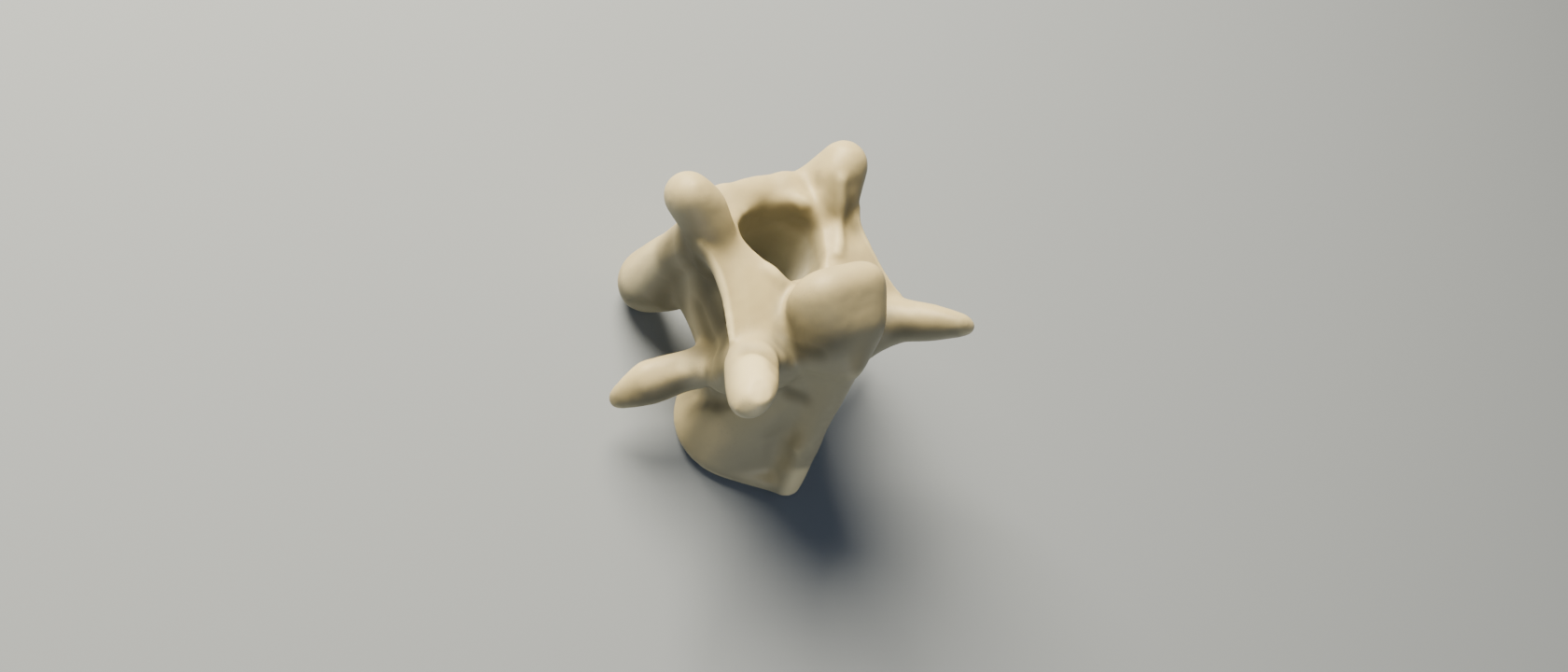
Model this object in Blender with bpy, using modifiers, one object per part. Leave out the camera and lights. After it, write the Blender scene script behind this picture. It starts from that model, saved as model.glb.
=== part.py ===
# Horse neck vertebra, life size, standing on its caudal end.
# Axes: +X is the animal's left, +Y its dorsal side, +Z its cranial end.
# The sizes below are in millimetres; the model is in metres.

import bmesh
import bpy
from mathutils import Matrix, Vector

MM = 0.001

# Middle plane.
HEAD_WIDTH = 39.6
HEAD_DEPTH = 30
HEAD_TOP = 109
WAIST_WIDTH = 30
RIM_WIDTH = 72
RIM_DEPTH = 56
RIM_DROP = 8
RIM_HEIGHT = 2.9
TUBERCLE = (0, -40.5, 8)
ARCH_TOP = 64.2
CANAL_WIDTH = 27
CANAL_DEPTH = 25
CANAL_MIDDLE = 33

# Left side; the right side is its mirror image.
CRANIAL_KNOB = (35.5, 56.3, 86.3)
CAUDAL_KNOB = (25.6, 55.0, 16.6)
CAUDAL_BRANCH = (60, 9.5, 21.2)
RIDGE = ((34.5, 40, 78), (32, 29, 78), (32.5, 16, 77), (36, 4, 76), (37.5, -3, 76))
CANAL_EDGE = ((23, 42, 78), (19.5, 31, 79), (12, 21, 80), (11, 6, 78), (11, -4, 75))
EDGE_BEAD = 3.2
FORAMEN = 3.2
BRANCH_WIDEST_AT = 0.55

# The tips of the forward branches differ a little, as in the photo.
LEFT_BRANCH = (48.7, -19.9, 90.3)
RIGHT_BRANCH = (-48.5, -25.6, 89.8)

# The middle of the box round the bone, at its foot.
ORIGIN = Vector((0, 10.6, 0))

# Mesh steps.
BALL_SIDES = 24
BALL_RINGS = 12
COARSE_VOXEL = 1.4
FINE_VOXEL = 1.2
SMOOTHING = 0.5
BLEND_PASSES = 14
SOFTEN_PASSES = 6
TRIANGLES = 11500


def add_blob(mesh, centre, radii, turn=None):
    """A ball stretched to three radii. Returns its vertices."""
    place = Matrix.Translation((Vector(centre) - ORIGIN) * MM)
    if turn is not None:
        place = place @ turn.to_4x4()
    place = place @ Matrix.Diagonal((*(MM * radius for radius in radii), 1))
    made = bmesh.ops.create_uvsphere(
        mesh, u_segments=BALL_SIDES, v_segments=BALL_RINGS, radius=1, matrix=place)
    return made["verts"]


def add_hull(mesh, blobs):
    """The tight skin around a few blobs."""
    ends = [vertex for blob in blobs for vertex in add_blob(mesh, *blob)]
    hull = bmesh.ops.convex_hull(mesh, input=ends, use_existing_faces=False)
    spare = hull["geom_interior"] + hull["geom_unused"]
    loose = [item for item in spare if isinstance(item, bmesh.types.BMVert)]
    bmesh.ops.delete(mesh, geom=loose, context="VERTS")


def add_limb(mesh, stations):
    """Tapered lengths of bone between neighbouring stations, each a blob or a list of blobs."""
    groups = [station if isinstance(station, list) else [station] for station in stations]
    for near, far in zip(groups, groups[1:]):
        add_hull(mesh, near + far)


def turned(along, across):
    """A turn whose first axis runs along the limb and whose second lies nearest to across."""
    first = Vector(along).normalized()
    third = first.cross(Vector(across)).normalized()
    return Matrix((first, third.cross(first), third)).transposed()


def add_body(mesh):
    half = HEAD_WIDTH / 2
    add_hull(mesh, [
        ((8, 3.5, HEAD_TOP - 15), (half - 8, HEAD_DEPTH / 2 - 5, 14.5)),
        ((-8, 3.5, HEAD_TOP - 15), (half - 8, HEAD_DEPTH / 2 - 5, 14.5)),
        ((6.2, -6.6, HEAD_TOP - 23), (12.8, 12.4, 16)),
        ((-6.2, -6.6, HEAD_TOP - 23), (12.8, 12.4, 16)),
    ])
    add_limb(mesh, [
        [((6, 0.5, 84), (12, 12.5, 9)), ((-6, 0.5, 84), (12, 12.5, 9))],
        ((0, -2, 74), (14, 17, 8)),
        ((0, -3, 62), (WAIST_WIDTH / 2, 18, 8)),
        ((0, -3.6, 46), (16.8, 19.8, 8)),
        ((0, -6, 28), (25, 23, 8)),
        ((0, -RIM_DROP, RIM_HEIGHT), (RIM_WIDTH / 2, RIM_DEPTH / 2, 4.5)),
    ])
    add_limb(mesh, [
        [((9, 11, 75), (7, 8.5, 6)), ((-9, 11, 75), (7, 8.5, 6))],
        [((9, 11, 30), (7, 9, 6)), ((-9, 11, 30), (7, 9, 6))],
    ])


def add_crest(mesh):
    add_limb(mesh, [
        ((0, -18, 84), (6.5, 6, 8)),
        ((0, -28.2, 48), (5.5, 6, 8)),
        ((0, -34.0, 24), (7, 7, 8)),
        (TUBERCLE, (6, 5.5, 6)),
    ])
    add_hull(mesh, [
        ((0, -RIM_DROP, RIM_HEIGHT), (RIM_WIDTH / 2, RIM_DEPTH / 2 + 1, 4.5)),
        (TUBERCLE, (6, 4.5, 5)),
    ])


def add_arch(mesh):
    top = ARCH_TOP
    add_limb(mesh, [
        [((14, top - 8, 75), (9, 8.5, 5)), ((14, 38, 75), (12, 16, 6))],
        [((10, top - 13, 52), (10, 7, 8)), ((12, 34, 52), (11, 14, 8))],
        [((12, top - 14, 30), (12, 7, 6)), ((13, 34, 32), (13, 14, 8))],
    ])
    add_limb(mesh, [
        ((0, top - 6, 74), (13, 7.5, 5)),
        ((0, top - 13, 50), (10, 7, 8)),
        ((0, top - 15, 34), (12, 7, 6)),
    ])
    add_limb(mesh, [
        ((0, top - 7, 66), (2.5, 4, 5)),
        ((0, top - 7, 48), (2.8, 5, 5)),
        ((0, top - 8, 33), (4.5, 5, 4)),
    ])


def add_articular_processes(mesh):
    x, y, z = CRANIAL_KNOB
    add_limb(mesh, [
        [((x, y, z), (9.3, 10, 9.5)), ((x - 5.5, y - 4.5, z - 0.5), (8, 9, 7.5))],
        [((x - 3, y - 11, z - 7), (6, 8, 7)), ((x - 7.5, y - 11, z - 4), (7.5, 8.5, 7))],
        [((29, 38, 70), (6, 8, 7)), ((23, 38, 70), (7, 10, 7))],
    ])
    add_limb(mesh, [
        ((x - 1, y + 2, z - 3), (8, 8, 8)),
        ((x - 8, y + 0.6, z - 11), (8, 8, 6)),
        ((x - 14, y - 0.7, z - 16), (8, 8, 6)),
    ])
    x, y, z = CAUDAL_KNOB
    add_limb(mesh, [
        ((28, 46.6, 74), (8, 10, 8)),
        ((26.4, 51.4, 48), (9.4, 9.4, 11)),
        [((x, y, z), (12.1, 12.8, 17)), ((x - 4, y - 8.6, z + 8), (9, 9, 12))],
    ])


def add_cranial_branch(mesh, tip, width, depth, tip_depth):
    """The forward branch of one transverse process, flattened across its length."""
    tip = Vector(tip)
    side = 1 if tip.x > 0 else -1
    root = Vector((34.3 * side, -7, 76.5))
    turn = turned(tip - root, (0.28 * side, 0.85, 0.44))
    add_limb(mesh, [
        ((24 * side, -5, 69), (9, 10, 10)),
        (root, (8, 8.5, 10.5), turn),
        (root.lerp(tip, BRANCH_WIDEST_AT), (7, depth / 2 + 1.2, width / 2 + 1), turn),
        (tip, (6, tip_depth / 2, width / 2), turn),
    ])


def add_transverse_process(mesh):
    add_hull(mesh, [
        ((18, -6.6, 68.5), (9.4, 10.5, 9)),
        ((30, -4, 71), (8, 9.5, 9)),
        ((27.4, 1, 45), (6.6, 8.5, 10)),
        ((14, 0, 44), (9, 12, 12)),
    ])
    add_hull(mesh, [
        ((23, 7, 68), (8, 8, 8)),
        ((20.5, 7, 42), (7.5, 9, 10)),
    ])
    tip = Vector(CAUDAL_BRANCH)
    root = Vector((35, 9.3, 33))
    widest = root.lerp(tip, BRANCH_WIDEST_AT) + Vector((0, 1, 0.5))
    turn = turned(tip - root, (-0.23, 0.88, 0.41))
    add_limb(mesh, [
        ((19.4, 7, 36), (7, 10.4, 10)),
        (root, (8, 8.0, 6.5), turn),
        (widest, (8, 9.5, 6.8), turn),
        (tip, (6, 5.1, 4), turn),
    ])


def add_pedicle(mesh):
    stations = [
        [(outer, (EDGE_BEAD,) * 3), (inner, (EDGE_BEAD,) * 3)]
        for outer, inner in zip(RIDGE, CANAL_EDGE)
    ]
    add_limb(mesh, stations)
    add_hull(mesh, [
        ((22, 40, 66), (7, 10, 9)),
        ((21, 18, 68), (8, 10, 7)),
        ((20, 18, 36), (6.5, 10, 10)),
        ((20, 38, 36), (7, 10, 8)),
    ])


def fill_bone(mesh):
    add_arch(mesh)
    add_articular_processes(mesh)
    add_transverse_process(mesh)
    add_pedicle(mesh)
    half = mesh.verts[:] + mesh.edges[:] + mesh.faces[:]
    bmesh.ops.mirror(mesh, geom=half, axis="X", merge_dist=-1)
    add_body(mesh)
    add_crest(mesh)
    add_cranial_branch(mesh, LEFT_BRANCH, 17, 12, 9)
    add_cranial_branch(mesh, RIGHT_BRANCH, 18.5, 13.5, 12.5)


def fill_canal(mesh):
    middle = CANAL_MIDDLE
    wide = CANAL_WIDTH / 2
    deep = CANAL_DEPTH / 2
    add_limb(mesh, [
        [((0, 44, 112), (26, 14, 4)), ((0, 34, 112), (20, 10, 4))],
        [((0, 40.3, 80), (18.2, 10.3, 3)), ((4.5, 27.3, 80), (8, 8, 3)), ((-4.5, 27.3, 80), (8, 8, 3))],
        ((0, middle + 0.5, 66), (wide + 1.5, deep + 1, 4)),
        ((0, middle, 34), (wide, deep, 4)),
        ((0, middle, 18), (wide + 2, deep + 1, 4)),
        ((0, middle + 1, -20), (wide + 7, deep + 5, 4)),
    ])


def fill_fossa(mesh):
    add_blob(mesh, (0, -RIM_DROP, -13), (33, 26, 24))


def fill_foramina(mesh):
    """The tunnel for the vertebral artery through the root of each transverse process."""
    for side in (-1, 1):
        add_limb(mesh, [
            ((40 * side, 18, 73), (FORAMEN,) * 3),
            ((25 * side, 13, 66), (FORAMEN,) * 3),
            ((22.5 * side, 3, 46), (FORAMEN,) * 3),
            ((33 * side, -6, 18), (4, 4, 4)),
        ])


def object_from(name, fill):
    mesh = bmesh.new()
    fill(mesh)
    bmesh.ops.recalc_face_normals(mesh, faces=mesh.faces)
    data = bpy.data.meshes.new(name)
    mesh.to_mesh(data)
    mesh.free()
    made = bpy.data.objects.new(name, data)
    fuse = made.modifiers.new("fuse", "REMESH")
    fuse.mode = "VOXEL"
    fuse.voxel_size = COARSE_VOXEL * MM
    return made


def bone_material():
    material = bpy.data.materials.new("dry_bone")
    material.use_nodes = True
    surface = material.node_tree.nodes["Principled BSDF"]
    surface.inputs["Base Color"].default_value = (0.60, 0.50, 0.33, 1)
    surface.inputs["Roughness"].default_value = 0.55
    surface.inputs["Metallic"].default_value = 0
    return material


def main():
    for old in list(bpy.data.objects):
        bpy.data.objects.remove(old)
    parts = bpy.data.collections.new("cervical_vertebra")
    cutters = bpy.data.collections.new("cutters")
    for collection in (parts, cutters):
        bpy.context.scene.collection.children.link(collection)
    bone = object_from("vertebra", fill_bone)
    bone.data.materials.append(bone_material())
    parts.objects.link(bone)
    hollows = {"canal": fill_canal, "fossa": fill_fossa, "foramina": fill_foramina}
    for name, fill in hollows.items():
        cutter = object_from(name, fill)
        cutter.hide_render = True
        cutter.display_type = "WIRE"
        cutters.objects.link(cutter)
    blend = bone.modifiers.new("blend", "SMOOTH")
    blend.factor = SMOOTHING
    blend.iterations = BLEND_PASSES
    cut = bone.modifiers.new("cut", "BOOLEAN")
    cut.operation = "DIFFERENCE"
    cut.operand_type = "COLLECTION"
    cut.collection = cutters
    cut.solver = "MANIFOLD"
    even = bone.modifiers.new("even", "REMESH")
    even.mode = "VOXEL"
    even.voxel_size = FINE_VOXEL * MM
    soften = bone.modifiers.new("soften", "SMOOTH")
    soften.factor = SMOOTHING
    soften.iterations = SOFTEN_PASSES
    graph = bpy.context.evaluated_depsgraph_get()
    dense = bone.evaluated_get(graph).to_mesh()
    dense.calc_loop_triangles()
    count = len(dense.loop_triangles)
    bone.evaluated_get(graph).to_mesh_clear()
    reduce = bone.modifiers.new("reduce", "DECIMATE")
    reduce.ratio = TRIANGLES / count
    bone.data.shade_smooth()


main()
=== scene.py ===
# Horse neck vertebra, life size, standing on its caudal end on a pale floor.
# The bone and the camera are in millimetres here, and the floor and the lamps in metres.
# +X is the animal's left, +Y its dorsal side, +Z its cranial end.

import bmesh
import bpy
import numpy as np
from mathutils import Euler, Matrix, Vector, noise
from mathutils.bvhtree import BVHTree


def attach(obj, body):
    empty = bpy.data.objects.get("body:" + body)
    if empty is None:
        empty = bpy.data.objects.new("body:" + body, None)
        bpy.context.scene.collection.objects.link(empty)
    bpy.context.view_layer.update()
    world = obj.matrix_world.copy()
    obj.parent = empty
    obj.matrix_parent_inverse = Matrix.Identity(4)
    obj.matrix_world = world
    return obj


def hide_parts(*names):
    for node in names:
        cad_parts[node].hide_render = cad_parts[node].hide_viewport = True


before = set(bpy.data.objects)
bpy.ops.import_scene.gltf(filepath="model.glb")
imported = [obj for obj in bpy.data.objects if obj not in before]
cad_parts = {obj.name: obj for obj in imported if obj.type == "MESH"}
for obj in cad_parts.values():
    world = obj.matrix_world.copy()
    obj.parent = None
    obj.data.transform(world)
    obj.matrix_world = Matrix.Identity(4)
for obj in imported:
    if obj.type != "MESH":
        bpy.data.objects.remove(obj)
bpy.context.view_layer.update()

MM = 0.001

# Blank of the bone: the real thing is one piece, so it is one skin, the shape the CAD gives.
# It is merged, rounded and cut into even faces of under a millimetre, ready for carving.
SAME_PLACE = 0.001
FINER_LEVELS = 2
SKIN_FACE = 0.88
ROUNDING = 0.5
ROUNDING_PASSES = 4

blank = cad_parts["vertebra"].data.copy()
shell = bmesh.new()
shell.from_mesh(blank)
bmesh.ops.remove_doubles(shell, verts=shell.verts, dist=SAME_PLACE * MM)
shell.to_mesh(blank)
shell.free()
blank.materials.clear()
rough_bone = bpy.data.objects.new("rough_bone", blank)
bpy.context.scene.collection.objects.link(rough_bone)
finer = rough_bone.modifiers.new("finer", "SUBSURF")
finer.levels = FINER_LEVELS
finer.render_levels = FINER_LEVELS
even = rough_bone.modifiers.new("even", "REMESH")
even.mode = "VOXEL"
even.voxel_size = SKIN_FACE * MM
soften = rough_bone.modifiers.new("soften", "SMOOTH")
soften.factor = ROUNDING
soften.iterations = ROUNDING_PASSES
graph = bpy.context.evaluated_depsgraph_get()
skin = bpy.data.meshes.new_from_object(rough_bone.evaluated_get(graph))
bpy.data.objects.remove(rough_bone)
skin.name = "horse_vertebra"
bone = bpy.data.objects.new("horse_vertebra", skin)
bpy.context.scene.collection.objects.link(bone)
skin.shade_smooth()

edges = np.empty(len(skin.edges) * 2, int)
skin.edges.foreach_get("vertices", edges)
edges = edges.reshape(-1, 2)
neighbours = np.bincount(edges.ravel(), minlength=len(skin.vertices))[:, None]

# A line is given for the left side, and worked on the sides named. One that crosses or
# follows the middle is worked once, as it is given.
LEFT = (1,)
RIGHT = (-1,)
BOTH = (1, -1)
ONCE = (1,)


def read_points():
    points = np.empty(len(skin.vertices) * 3)
    skin.vertices.foreach_get("co", points)
    return points.reshape(-1, 3) / MM


def read_normals():
    normals = np.empty(len(skin.vertices) * 3)
    skin.vertices.foreach_get("normal", normals)
    return normals.reshape(-1, 3)


def write_points(points):
    skin.vertices.foreach_set("co", (points * MM).ravel())
    skin.update()


def averaged(values, passes, share=0.5):
    """Values at the vertices, each drawn towards the mean of its neighbours."""
    for _ in range(passes):
        total = np.zeros_like(values)
        np.add.at(total, edges[:, 0], values[edges[:, 1]])
        np.add.at(total, edges[:, 1], values[edges[:, 0]])
        values = values + share * (total / neighbours - values)
    return values


def faded(distance, reach):
    """One at no distance, falling smoothly to nothing at the reach."""
    left = np.clip(1 - distance / reach, 0, 1)
    return left * left * (3 - 2 * left)


def distance_to_line(points, line):
    nearest = np.full(len(points), np.inf)
    for start, end in zip(line, line[1:]):
        start = np.array(start, float)
        along = np.array(end, float) - start
        share = np.clip((points - start) @ along / (along @ along), 0, 1)
        gap = points - start - share[:, None] * along
        nearest = np.minimum(nearest, np.linalg.norm(gap, axis=1))
    return nearest


def stroke(line, reach, height, sides=BOTH):
    """Raises the skin along a line of points, or sinks it where height is below zero."""
    for side in sides:
        points = read_points()
        path = [(side * x, y, z) for x, y, z in line]
        fade = faded(distance_to_line(points, path), reach)
        write_points(points + read_normals() * (height * fade)[:, None])


def rub(line, reach, passes, sides=BOTH):
    """Rubs the skin smooth along a line of points."""
    for side in sides:
        points = read_points()
        path = [(side * x, y, z) for x, y, z in line]
        fade = faded(distance_to_line(points, path), reach)[:, None]
        write_points(points + fade * (averaged(points, passes) - points))


def flatten_spot(centre, facing, reach, depth, sides=BOTH):
    """Planes a flat into the skin, as deep as depth below the point, and blends its edge."""
    for side in sides:
        points = read_points()
        middle = np.array((side * centre[0], centre[1], centre[2]))
        normal = np.array((side * facing[0], facing[1], facing[2]))
        normal = normal / np.linalg.norm(normal)
        above = np.clip((points - middle) @ normal + depth, 0, None)
        fade = np.clip(2 * faded(np.linalg.norm(points - middle, axis=1), reach), 0, 1)
        write_points(points - normal * (above * fade)[:, None])


# Articular processes: the four knobs of solid bone that meet the neighbouring vertebrae.
# Each front knob has a hollow below it on its front, deep on the left and worn shallow on
# the right, and each rear knob has a worn flat.
LEFT_HOLLOW = [(31, 33, 90), (29.8, 28, 86), (29.2, 22.5, 82), (27.5, 17.5, 81.3)]
RIGHT_HOLLOW = [(30, 31.7, 89), (29, 28, 86.5)]
RIGHT_KNOB_FOOT = [(26.5, 27, 85), (30.5, 25, 83)]
FRONT_KNOB_BACK = [(34, 46, 93), (36, 50, 88)]
FRONT_KNOB_TOP = [(32, 42, 90), (36, 48, 92)]
REAR_KNOB_FLAT = (33, 35, 14)
stroke(RIGHT_HOLLOW, reach=9, height=-0.5, sides=RIGHT)
stroke(LEFT_HOLLOW, reach=7.5, height=-1.0, sides=LEFT)
rub(RIGHT_KNOB_FOOT, reach=9, passes=40, sides=RIGHT)
stroke(FRONT_KNOB_BACK, reach=15, height=0.5)
flatten_spot(REAR_KNOB_FLAT, facing=(0.62, -0.74, -0.26), reach=15, depth=1.6)
rub(FRONT_KNOB_TOP, reach=14, passes=10)

# Pedicles: the walls of bone beside the canal, from each front knob to the branch below it.
# A sharp outer edge and, on the left, a rounded inner one border a shallow trough.
OUTER_EDGE = [(36.4, 28.5, 81.5), (34, 24, 81), (33.2, 17.6, 80.3), (33.8, 10.4, 79.6),
              (35, 4.5, 78.6), (36.8, -2.4, 78), (38.8, -8, 78)]
INNER_EDGE = [(27, 37, 91.5), (25.7, 30.6, 87.7), (24.3, 25, 83), (21, 18, 82), (17, 12.8, 82.3)]
TROUGH = [(x - 5, y, z) for x, y, z in OUTER_EDGE]
OUTER_WALL = [(x + 1.5, y, z - 5.5) for x, y, z in OUTER_EDGE[1:]]
stroke(TROUGH, reach=4.5, height=-0.45)
stroke(OUTER_WALL, reach=5, height=-1.0)
stroke(OUTER_EDGE, reach=2.6, height=0.9)
stroke(INNER_EDGE, reach=4.5, height=1.1, sides=LEFT)

# Canal rim and arch: the front edge of the bore for the spinal cord, and the roof over it.
# The rim is crisp on the right and worn round on the left, and the roof's ridge is low.
CANAL_RIM = [(18.5, 32, 80.8), (18.5, 26.5, 81), (15.6, 19.3, 81.5), (13.2, 11.8, 82.5)]
RIM_FOOT = [(12.5, 12.5, 81.8), (10.6, 9.6, 81.8), (9.3, 6.6, 81.3), (8, 4, 82)]
LEFT_RIM_CORNER = [(14, 36, 79), (17.5, 32, 80)]
ROOF_EDGE = [(-5, 40.5, 76.5), (0, 40.8, 76), (8, 39, 77)]
ROOF_RIDGE = [(0, 53, 74), (0, 52, 58)]
stroke(CANAL_RIM, reach=2.4, height=0.4, sides=RIGHT)
stroke(CANAL_RIM, reach=7, height=-1.3, sides=LEFT)
stroke(RIM_FOOT, reach=6.5, height=1.5, sides=RIGHT)
rub(RIM_FOOT, reach=7, passes=15, sides=RIGHT)
stroke(LEFT_RIM_CORNER, reach=9, height=1.5, sides=LEFT)
rub(ROOF_EDGE, reach=8, passes=40, sides=ONCE)
stroke(ROOF_RIDGE, reach=9, height=-0.7, sides=ONCE)

# Front branches of the transverse processes: blunt lobes that grow from the pedicle's foot.
# The right one stands a step above the wall and ends in two worn faces. A crevice parts
# each from the head.
STEP_TOP = [(43.1, -18, 85.6), (40.8, -17.5, 86.6), (37.8, -18.9, 88.8), (36.5, -22.1, 90.9),
            (36.4, -25.8, 92.8), (37.6, -29.1, 94.3)]
STEP_WALL = [(x - 3.6, y + 3.2, z - 2.4) for x, y, z in STEP_TOP]
STEP_FOOT = [(38.8, -14.5, 83.6), (35.6, -17, 86.6), (32.2, -20.6, 87.6), (31.5, -23.4, 87.6)]
CREVICE_BANK = [(24, -14, 79.5), (22.5, -19, 79)]
CREVICE = [(18.5, -13, 80), (17, -18.5, 79), (16, -22, 77)]
RIGHT_NECK = [(21, -21, 77.5), (16.5, -23.5, 77), (12.5, -25.5, 76)]
NECK_SIDE = [(21, -11, 79.5), (20, -17, 78.5), (18, -23, 77), (12, -26, 75)]
LEFT_LOBE_TOP = [(38, -17, 90), (47, -28, 95.5)]
RIGHT_LOBE_TIP = [(46, -39, 93), (53, -38, 91)]
stroke(STEP_WALL, reach=5.5, height=-0.9, sides=RIGHT)
stroke(STEP_FOOT, reach=4, height=-0.6, sides=RIGHT)
stroke(CREVICE_BANK, reach=5, height=1.2)
stroke(CREVICE, reach=7, height=-1.2)
stroke(RIGHT_NECK, reach=8, height=2.0, sides=RIGHT)
rub(NECK_SIDE, reach=13, passes=60)
stroke(LEFT_LOBE_TOP, reach=7, height=0.6, sides=LEFT)
flatten_spot((48, -31, 95.5), facing=(0.25, 0.55, 0.79), reach=13, depth=0.7, sides=RIGHT)
flatten_spot((49, -34, 95), facing=(0.15, 0.25, 0.95), reach=12, depth=0.8, sides=RIGHT)
rub(RIGHT_LOBE_TIP, reach=12, passes=140, sides=RIGHT)

# Rear branches of the transverse processes: flat wings that slope out over the rear rim.
# A low ridge runs along the top of each.
WING_RIDGE = [(34, -5, 44), (38.8, -3.8, 38), (45, -2.5, 33), (52, -2, 29)]
stroke(WING_RIDGE, reach=4.5, height=0.8)

# Body: the solid block under the canal, with a waist above its flared rear rim.
# A keel runs down its underside and ends in a tubercle.
KEEL_SIDE = [(6.5, -27, 81), (7, -30, 70), (8.5, -31, 60), (8.5, -34, 48)]
WAIST_CREASE = [(27.5, -6.6, 14), (26.9, -10.6, 20.4), (24.5, -15.9, 28.8), (20, -20.5, 42),
                (14.1, -25.7, 55.4), (9.8, -28.5, 57), (6.1, -31.9, 57)]
KEEL_HOLLOW = [(6.8, -43.5, 25), (9.8, -37.3, 30), (7, -38, 40)]
KEEL_SLOPE = [(7, -27, 78), (6, -33, 62), (6, -38, 46)]
stroke(KEEL_SIDE, reach=8, height=1.6)
stroke(WAIST_CREASE, reach=5.5, height=-1.2)
stroke(KEEL_HOLLOW, reach=9, height=-1.5)
rub(KEEL_SLOPE, reach=15, passes=60)

# Head: the smooth rounded pad that sat in the hollow of the vertebra in front.
# It is undercut where it meets the neck of the body, and full below.
UNDERCUT = [(10.5, 3.2, 82.9), (15.7, -1.9, 84), (17.8, -6.8, 83.3), (17.2, -12.3, 86)]
HEAD_TOP = [(14, -8, 98), (0, -10, 104), (-14, -8, 98)]
HEAD_CHIN = [(12.5, -25.5, 80), (6, -30, 83), (0, -32, 85)]
HEAD_FRONT = [(16, -16, 92), (13, -23, 90), (6, -28, 90), (0, -29, 90)]
stroke(UNDERCUT, reach=3.4, height=-0.5)
rub(HEAD_TOP, reach=18, passes=30, sides=ONCE)
stroke(HEAD_CHIN, reach=9, height=1.3)
rub(HEAD_FRONT, reach=14, passes=90)

# Surface: dry bone is faintly uneven all over, in broad swells and a fine grit.
# The grit is coarser where muscle held on, round each rough spot as far as its reach.
SWELL = 14
SWELL_HEIGHT = 0.28
GRIT = 3.2
GRIT_HEIGHT = 0.06
ROUGH_GAIN = 2.5
ROUGH_SPOTS = [(0, -53, 10, 12), (60, -3, 22, 14), (47, -32, 90, 10), (-47, -35, 91, 10),
               (-60, -3, 22, 14), (0, 52, 55, 14)]

points = averaged(read_points(), passes=2)
write_points(points)
rough = np.zeros(len(points))
for x, y, z, reach in ROUGH_SPOTS:
    rough = np.maximum(rough, faded(np.linalg.norm(points - (x, y, z), axis=1), reach))
lift = np.array([
    SWELL_HEIGHT * noise.noise(Vector(point) / SWELL)
    + GRIT_HEIGHT * (1 + ROUGH_GAIN * patch) * noise.noise(Vector(point) / GRIT)
    for point, patch in zip(points, rough)
])
write_points(points + read_normals() * lift[:, None])

# Closed places: how far the bone closes in round a point, which is painted as shade in the hollows
# below.
# Each point looks about in even directions, and the nearer the bone it meets, the more
# closed the point is.
SIGHT = 60
LOOKS = 40
LEAST_FACING = 0.15
EYE_HEIGHT = 0.4
GOLDEN_TURN = np.pi * (3 - np.sqrt(5))

points = read_points()
normals = read_normals()
turns = np.arange(LOOKS)
rise = 1 - (2 * turns + 1) / LOOKS
width = np.sqrt(1 - rise * rise)
across = width * np.cos(GOLDEN_TURN * turns)
along = width * np.sin(GOLDEN_TURN * turns)
looks = np.stack([across, along, rise], axis=1)
tree = BVHTree.FromPolygons(points.tolist(), [face.vertices[:] for face in skin.polygons])
closed = np.zeros(len(points))
for index, (point, normal) in enumerate(zip(points, normals)):
    eye = Vector(point + EYE_HEIGHT * normal)
    facing = looks @ normal
    outward = facing > LEAST_FACING
    seen = 0
    for look, share in zip(looks[outward], facing[outward]):
        distance = tree.ray_cast(eye, Vector(look), SIGHT)[3]
        seen += share
        if distance is not None:
            closed[index] += share * (1 - distance / SIGHT)
    closed[index] /= seen
closed = averaged(closed[:, None], passes=4)[:, 0]

# Wear, painted highlights and painted shade: edges that stand proud are rubbed pale, listed
# patches are painted pale as highlights, the side turned away from the key lamp is painted
# in shade, and listed patches are painted dark as shade. A patch is a line along the skin,
# its reach and its strength. All are kept as colour marks on the skin's points.
PROUD_PASSES = 25
PROUD_HEIGHT = 0.8
# The key lamp's direction, which sets the painted shade on the side turned from it.
KEY_LIGHT_DIRECTION = np.array((-0.09, 0.70, 0.71))
# Painted highlights: patches painted pale where light falls.
PAINTED_HIGHLIGHTS = [
    ([(0, -55.5, 8), (-1, -52, 22)], 10, 1),
    ([(-42, -22, 89), (-50, -36, 94)], 14, 1),
    ([(-34, -3, 41), (-38, -1.5, 39)], 8, 1),
    ([(-37, 45, 22), (-36, 44, 42)], 14, 1),
]
# Painted shade: patches painted dark where shade falls.
PAINTED_SHADE_PATCHES = [
    ([(-37, 33, 72), (-33, 26, 68), (-29, 17, 58), (-28, 8, 58), (-33, -3, 59)], 20, 0.95),
    ([(-27.7, 16, 48), (-27.5, 4, 44), (-30, -4, 50)], 13, 0.8),
    ([(-35, 41, 60), (-31, 32, 44), (-29, 25, 35)], 12, 0.6),
    ([(-36, 40, 12), (-33, 34, 19), (-29, 31, 22), (-31, 33, 40)], 10, 0.6),
    ([(-38.8, -14.5, 83.6), (-35.6, -17, 86.6), (-32.2, -20.6, 87.6), (-31, -25, 87.6)], 4.5, 0.4),
    ([(-63, -1, 23), (-57, -4, 27), (-50, -7, 29), (-43, -7, 33)], 9, 0.65),
    ([(30.5, 30.5, 87.5), (29.6, 27, 84.5), (31, 21, 81)], 5, 0.5),
    ([(24.5, 38, 90), (22, 30, 86)], 7, 0.4),
    ([(27, -23, 81), (33, -26, 87), (39, -29, 92), (44, -32, 96)], 8, 0.6),
    ([(-18, -15, 87), (-17, -19.5, 92), (-13, -24, 95)], 13, 0.65),
    ([(-18, -18, 81), (-17, -21.5, 87), (-15, -24, 89)], 9, 0.75),
    ([(-18, -24, 58), (-11, -27.5, 55), (-7, -30, 57)], 7, 0.6),
    ([(-32, -10, 16), (-30, -11, 20), (-26, -15, 26)], 9, 0.5),
    ([(-6.6, -43.8, 25), (-5, -40, 33)], 12, 0.2),
]


def with_patches(amount, patches):
    """The amount at each point, raised to a patch's strength along the patch's line."""
    for line, reach, strength in patches:
        amount = np.maximum(amount, strength * faded(distance_to_line(points, line), reach))
    return amount


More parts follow.
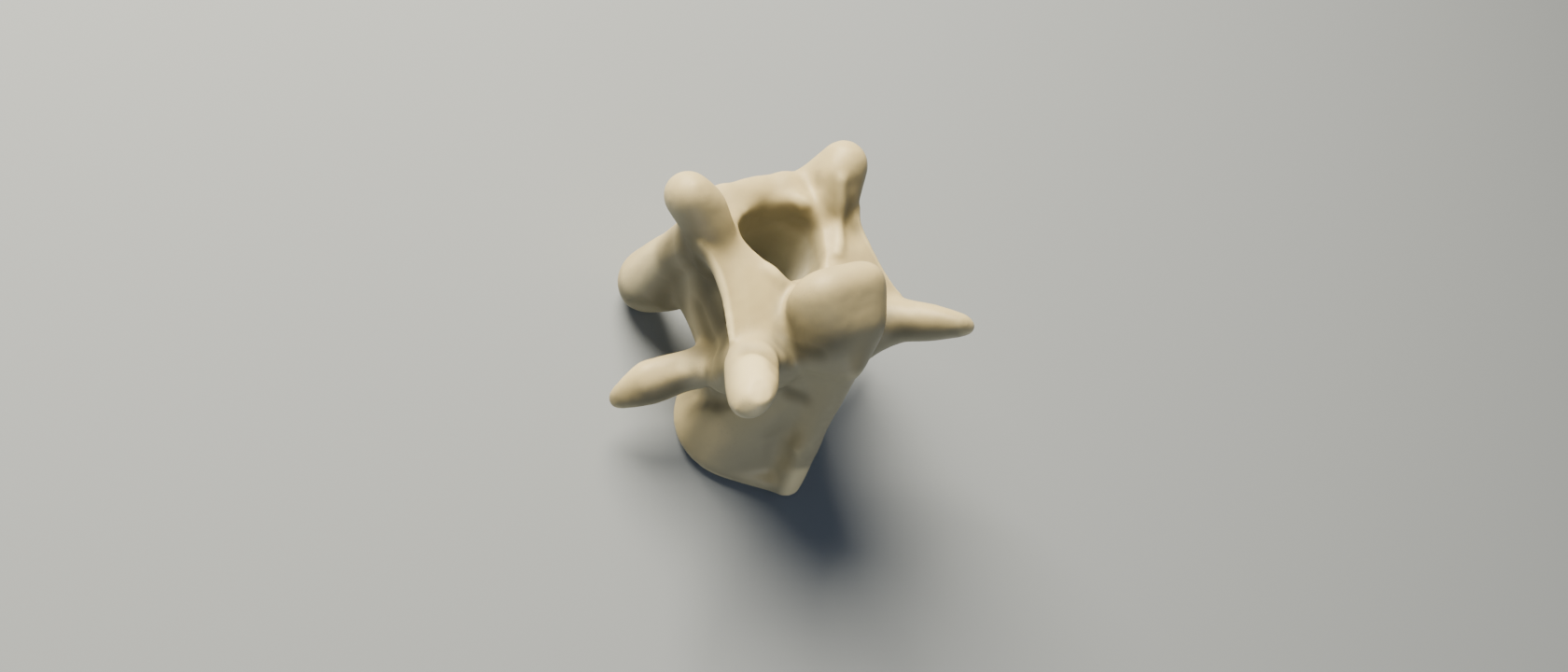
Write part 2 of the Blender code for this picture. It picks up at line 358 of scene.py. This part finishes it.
proud = ((points - averaged(points, PROUD_PASSES)) * normals).sum(axis=1)
wear_and_highlight = with_patches(np.clip(proud / PROUD_HEIGHT, 0, 1), PAINTED_HIGHLIGHTS)
facing_light = 0.5 + 0.5 * averaged(normals, passes=3) @ KEY_LIGHT_DIRECTION
painted_shade = with_patches(np.zeros(len(points)), PAINTED_SHADE_PATCHES)
marks = skin.color_attributes.new("marks", "FLOAT_COLOR", "POINT")
marks.data.foreach_set("color", np.stack([closed, wear_and_highlight, facing_light, painted_shade], axis=1).ravel())

# Canal wall: the inside of the bore for the spinal cord, greyer than the outside, with painted
# light on the wall that faces the key lamp.
# Its mark is full on closed places near the bore's axis and fades at the mouths.
CANAL_AXIS = [(0, 22.5, -5), (0, 24, 95)]
CANAL_REACH = 24
CANAL_SHARPNESS = 6
MOUTH_CLOSED = 0.34
MOUTH_BLEND = 0.20

near_axis = np.clip(CANAL_SHARPNESS * faded(distance_to_line(points, CANAL_AXIS), CANAL_REACH), 0, 1)
in_canal = near_axis * np.clip((closed - MOUTH_CLOSED) / MOUTH_BLEND, 0, 1)
skin.attributes.new("canal", "FLOAT", "POINT").data.foreach_set("value", in_canal)

# Dry bone: cream, with painted shade on the side turned from the key lamp, in the hollows
# and in listed patches, and pale worn edges with painted highlights. It has soft blotches, a
# faint grain along its length and fine pores, and loses its slight shine where the painted
# shade patches lie.
CREAM = (0.57, 0.485, 0.275, 1)
TAN = (0.50, 0.43, 0.26, 1)
SHADED_SIDE_TONE = (0.235, 0.23, 0.175, 1)
DUST_AND_SHADE = (0.15, 0.15, 0.125, 1)
PAINTED_SHADE_DARK = (0.115, 0.108, 0.075, 1)
PALE_WEAR_AND_HIGHLIGHT = (0.84, 0.74, 0.46, 1)
CANAL_GREY_AND_LIGHT = (0.48, 0.47, 0.39, 1)
BLOTCH_SCALE = 34
GRAIN_SCALE = 900
GRAIN_STRETCH = (1, 1, 0.16)
PORE_SCALE = 700
PORE_FIELD_SCALE = 60
PORE_SHADE = 0.3
GRAIN_RELIEF = 0.35
PORE_RELIEF = -0.9
RELIEF_STRENGTH = 0.35
RELIEF_DEPTH = 0.12

dry_bone = bpy.data.materials.new("dry_bone")
dry_bone.use_nodes = True
nodes = dry_bone.node_tree.nodes
links = dry_bone.node_tree.links
surface = nodes["Principled BSDF"]


def feed(socket, value):
    """Links a node's output to the socket, or sets a plain value on it."""
    if isinstance(value, bpy.types.NodeSocket):
        links.new(value, socket)
    else:
        socket.default_value = value


def add_node(kind, inputs=None, **settings):
    node = nodes.new(kind)
    for name, value in settings.items():
        setattr(node, name, value)
    for name, value in (inputs or {}).items():
        feed(node.inputs[name], value)
    return node


def ramp(value, low, high, start=0.0, end=1.0):
    """Start below low, end above high, and a smooth change between them."""
    limits = {"Value": value, "From Min": low, "From Max": high, "To Min": start, "To Max": end}
    return add_node("ShaderNodeMapRange", limits, interpolation_type="SMOOTHSTEP").outputs["Result"]


def mixed(share, first, second):
    """The first colour, with the second laid over it by its share."""
    mix = add_node("ShaderNodeMix", data_type="RGBA")
    for socket, value in zip((mix.inputs[0], mix.inputs[6], mix.inputs[7]), (share, first, second)):
        feed(socket, value)
    return mix.outputs[2]


def worked_out(operation, first, second):
    math_node = add_node("ShaderNodeMath", operation=operation)
    feed(math_node.inputs[0], first)
    feed(math_node.inputs[1], second)
    return math_node.outputs[0]


place = add_node("ShaderNodeTexCoord").outputs["Object"]
mark_reader = add_node("ShaderNodeVertexColor", layer_name="marks").outputs
mark_parts = add_node("ShaderNodeSeparateColor", {"Color": mark_reader["Color"]}).outputs
closed_mark = mark_parts["Red"]
wear_and_highlight_mark = mark_parts["Green"]
facing_light_mark = mark_parts["Blue"]
painted_shade_mark = mark_reader["Alpha"]
canal_mark = add_node("ShaderNodeAttribute", attribute_name="canal").outputs["Fac"]

blotches = add_node("ShaderNodeTexNoise", {
    "Vector": place, "Scale": BLOTCH_SCALE, "Detail": 5, "Roughness": 0.6, "Distortion": 0.4,
}).outputs["Fac"]
stretched = add_node("ShaderNodeMapping", {"Vector": place, "Scale": GRAIN_STRETCH})
grain = add_node("ShaderNodeTexNoise", {
    "Vector": stretched.outputs["Vector"], "Scale": GRAIN_SCALE, "Detail": 4, "Roughness": 0.6,
}).outputs["Fac"]
pore_cells = add_node("ShaderNodeTexVoronoi", {
    "Vector": place, "Scale": PORE_SCALE, "Randomness": 1,
}).outputs["Distance"]
pore_field = add_node("ShaderNodeTexNoise", {
    "Vector": place, "Scale": PORE_FIELD_SCALE, "Detail": 3,
}).outputs["Fac"]
pore_dots = ramp(pore_cells, 0.10, 0.24, start=1, end=0)
pore_share = ramp(pore_field, 0.50, 0.64, end=0.6)
pores = worked_out("MULTIPLY", pore_dots, pore_share)

colour = mixed(ramp(blotches, 0.40, 0.68), CREAM, TAN)
colour = mixed(ramp(grain, 0.45, 0.75, end=0.16), colour, TAN)
# Painted shade: darker on the side turned away from the key lamp.
colour = mixed(ramp(facing_light_mark, 0.28, 0.84, start=0.8, end=0), colour, SHADED_SIDE_TONE)
# Pale worn edges, and painted highlights in the listed patches.
colour = mixed(ramp(wear_and_highlight_mark, 0.25, 0.95, end=0.65), colour, PALE_WEAR_AND_HIGHLIGHT)
# Painted shade in the hollows, darker the more closed the point.
colour = mixed(ramp(closed_mark, 0.08, 0.42, end=0.75), colour, DUST_AND_SHADE)
# Painted shade in the listed patches.
colour = mixed(painted_shade_mark, colour, PAINTED_SHADE_DARK)
# Canal wall: a greyer tone, with painted light where it faces the key lamp.
canal_grey_and_lit_share = worked_out("MULTIPLY", canal_mark, ramp(facing_light_mark, 0.20, 0.50, start=0.2, end=0.95))
colour = mixed(canal_grey_and_lit_share, colour, CANAL_GREY_AND_LIGHT)
colour = mixed(worked_out("MULTIPLY", pores, PORE_SHADE), colour, DUST_AND_SHADE)
feed(surface.inputs["Base Color"], colour)

blotch_dullness = ramp(blotches, 0.3, 0.7, start=0.40, end=0.56)
dust_dullness = ramp(closed_mark, 0.1, 0.6, end=0.2)
feed(surface.inputs["Roughness"], worked_out("ADD", blotch_dullness, dust_dullness))
feed(surface.inputs["Specular IOR Level"], ramp(painted_shade_mark, 0, 0.8, start=0.42, end=0.05))

raised = worked_out("MULTIPLY", grain, GRAIN_RELIEF)
pitted = worked_out("MULTIPLY", pores, PORE_RELIEF)
relief = worked_out("ADD", raised, pitted)
bump = add_node("ShaderNodeBump", {
    "Height": relief, "Strength": RELIEF_STRENGTH, "Distance": RELIEF_DEPTH * MM,
})
feed(surface.inputs["Normal"], bump.outputs["Normal"])
skin.materials.append(dry_bone)

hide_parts("vertebra")
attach(bone, "root")

# Floor: a plain pale sheet that the bone stands on, wide enough to fill the photo's view.
# It is part of the picture and not of the bone.
FLOOR_HALF = 3.0
FLOOR_GREY = (0.28, 0.325, 0.41, 1)
FLOOR_DULLNESS = 0.8

plate = bmesh.new()
bmesh.ops.create_grid(plate, x_segments=1, y_segments=1, size=FLOOR_HALF)
floor_mesh = bpy.data.meshes.new("floor")
plate.to_mesh(floor_mesh)
plate.free()
floor = bpy.data.objects.new("floor", floor_mesh)
bpy.context.scene.collection.objects.link(floor)
floor_paint = bpy.data.materials.new("floor_paint")
floor_paint.use_nodes = True
floor_surface = floor_paint.node_tree.nodes["Principled BSDF"]
floor_surface.inputs["Base Color"].default_value = FLOOR_GREY
floor_surface.inputs["Roughness"].default_value = FLOOR_DULLNESS
floor_mesh.materials.append(floor_paint)

# Light: one broad soft warm lamp from the dorsal side and above, as the photo's bone is lit.
# A weak cool lamp from the ventral side and an even dim sky fill the shade.
LIT_PLACE = (0, 0, 0.05)
WARM = (1.0, 0.86, 0.60)
COOL = (0.92, 0.96, 1.0)
SKY_BLUE = (0.76, 0.83, 0.92, 1)
SKY_STRENGTH = 0.10


def add_lamp(name, position, width, watts, tint):
    light = bpy.data.lights.new(name, "AREA")
    light.shape = "DISK"
    light.size = width
    light.energy = watts
    light.color = tint
    lamp = bpy.data.objects.new(name, light)
    bpy.context.scene.collection.objects.link(lamp)
    away = Vector(position) - Vector(LIT_PLACE)
    facing = away.to_track_quat("Z", "Y").to_matrix().to_4x4()
    lamp.matrix_world = Matrix.Translation(position) @ facing


add_lamp("key", (-0.16, 1.00, 0.90), width=1.0, watts=75, tint=WARM)
add_lamp("fill", (-0.30, -1.10, 0.18), width=0.9, watts=4.6, tint=COOL)

sky = bpy.data.worlds.new("studio")
sky.use_nodes = True
sky_light = sky.node_tree.nodes["Background"]
sky_light.inputs["Color"].default_value = SKY_BLUE
sky_light.inputs["Strength"].default_value = SKY_STRENGTH
bpy.context.scene.world = sky

# Camera: the photo's viewpoint, looking down on the bone's head at 54 degrees.
# Its place, in millimetres, its turns, in degrees, and its lens put the bone's outline on
# the photo's.
VIEWPOINT = (-307.55, -143.70, 516.96)
VIEW_TURNS = (27.087, -24.587, -26.433)
PHOTO_WIDTH = 1680
FOCAL_PIXELS = 1600
SENSOR_WIDTH = 36
NEAREST_SEEN = 10

lens = bpy.data.cameras.new("photo_view")
lens.sensor_width = SENSOR_WIDTH
lens.lens = FOCAL_PIXELS / PHOTO_WIDTH * SENSOR_WIDTH
lens.clip_start = NEAREST_SEEN * MM
camera = bpy.data.objects.new("photo_view", lens)
bpy.context.scene.collection.objects.link(camera)
turned = Euler([np.radians(turn) for turn in VIEW_TURNS])
camera.matrix_world = Matrix.LocRotScale(Vector(VIEWPOINT) * MM, turned, None)
bpy.context.scene.camera = camera
